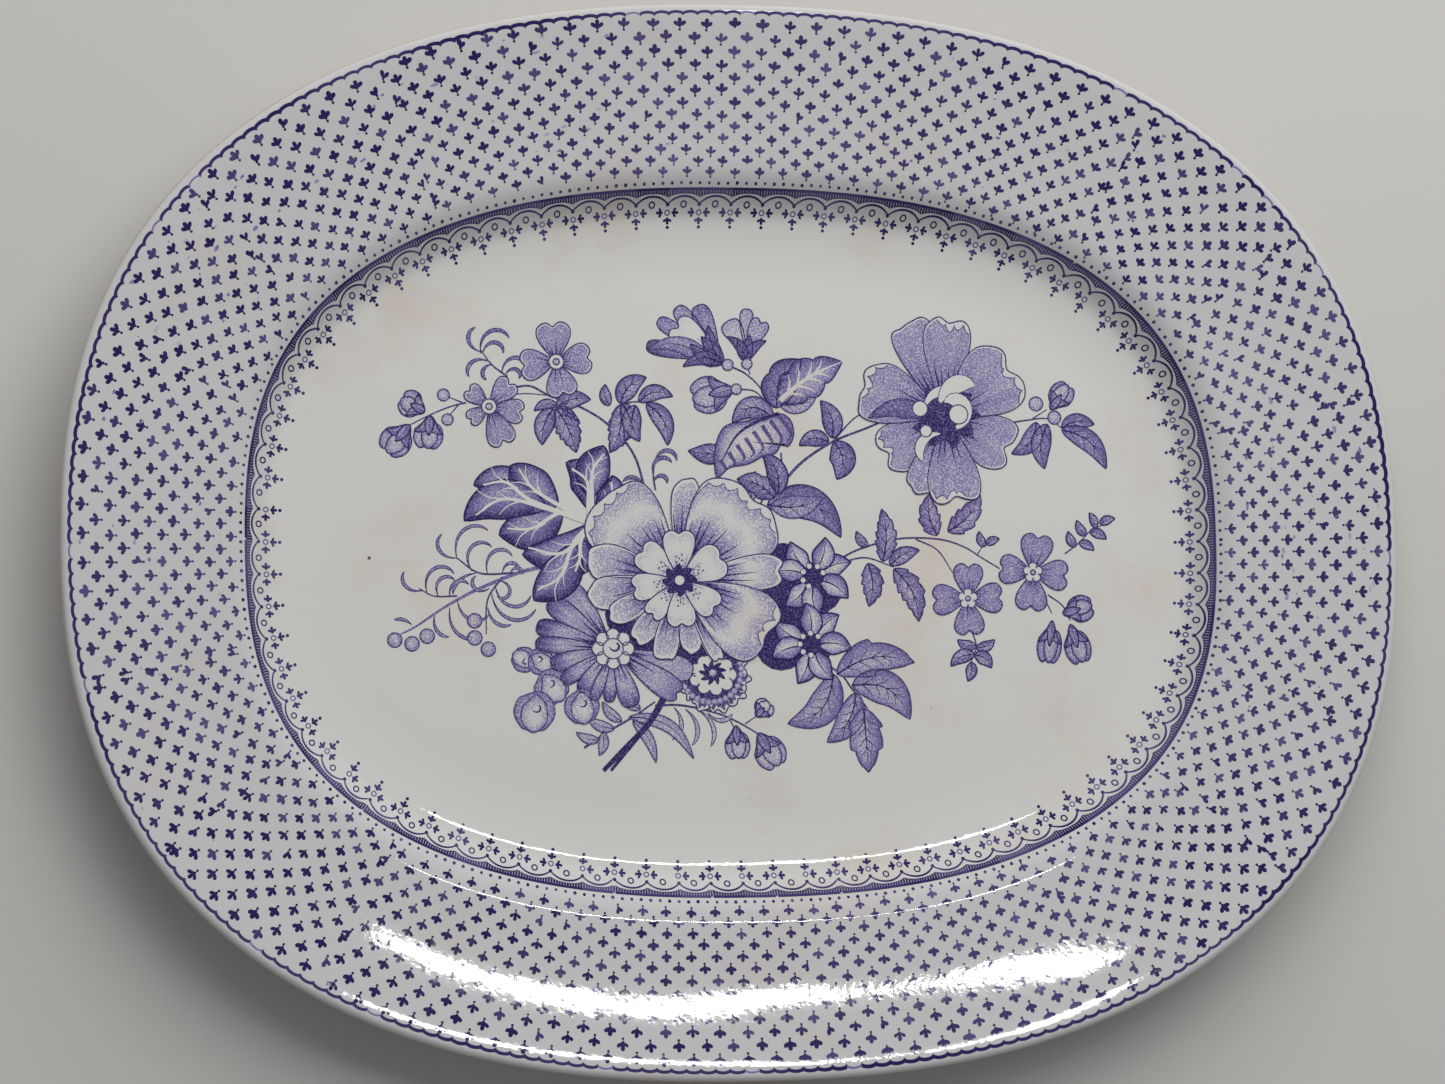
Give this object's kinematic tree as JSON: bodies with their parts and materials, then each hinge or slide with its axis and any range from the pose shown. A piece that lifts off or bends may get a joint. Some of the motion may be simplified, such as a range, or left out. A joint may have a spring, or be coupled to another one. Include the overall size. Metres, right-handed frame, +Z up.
{
  "type": "oval serving platter",
  "caption": "Oval earthenware serving platter with a wide sloping rim, a shallow well and a low foot ring, printed under the glaze with flowers and small sprigs.",
  "frame": {"origin": "on the table under the middle of the platter, with the platter lying flat on its foot ring", "axes": "+X along the platter's length, +Y across its width towards the top of the bouquet, +Z up out of the well"},
  "size_m": [0.355, 0.283, 0.026],
  "materials": {
    "biscuit_clay": "biscuit-fired earthenware, matt, bare on the foot ring",
    "violet_print": "violet ceramic colour printed on the biscuit, seen through the glaze",
    "clear_glaze": "clear glossy lead-type glaze over an off-white body, with a slight orange-peel ripple"
  },
  "bodies": {
    "root": {"biscuit_body": "biscuit_clay", "edge_line_print": "violet_print", "rim_sprig_print": "violet_print", "verge_print": "violet_print", "centre_bouquet_print": "violet_print", "glaze_coat": "clear_glaze", "base_glaze": "clear_glaze"}
  },
  "joints": []
}
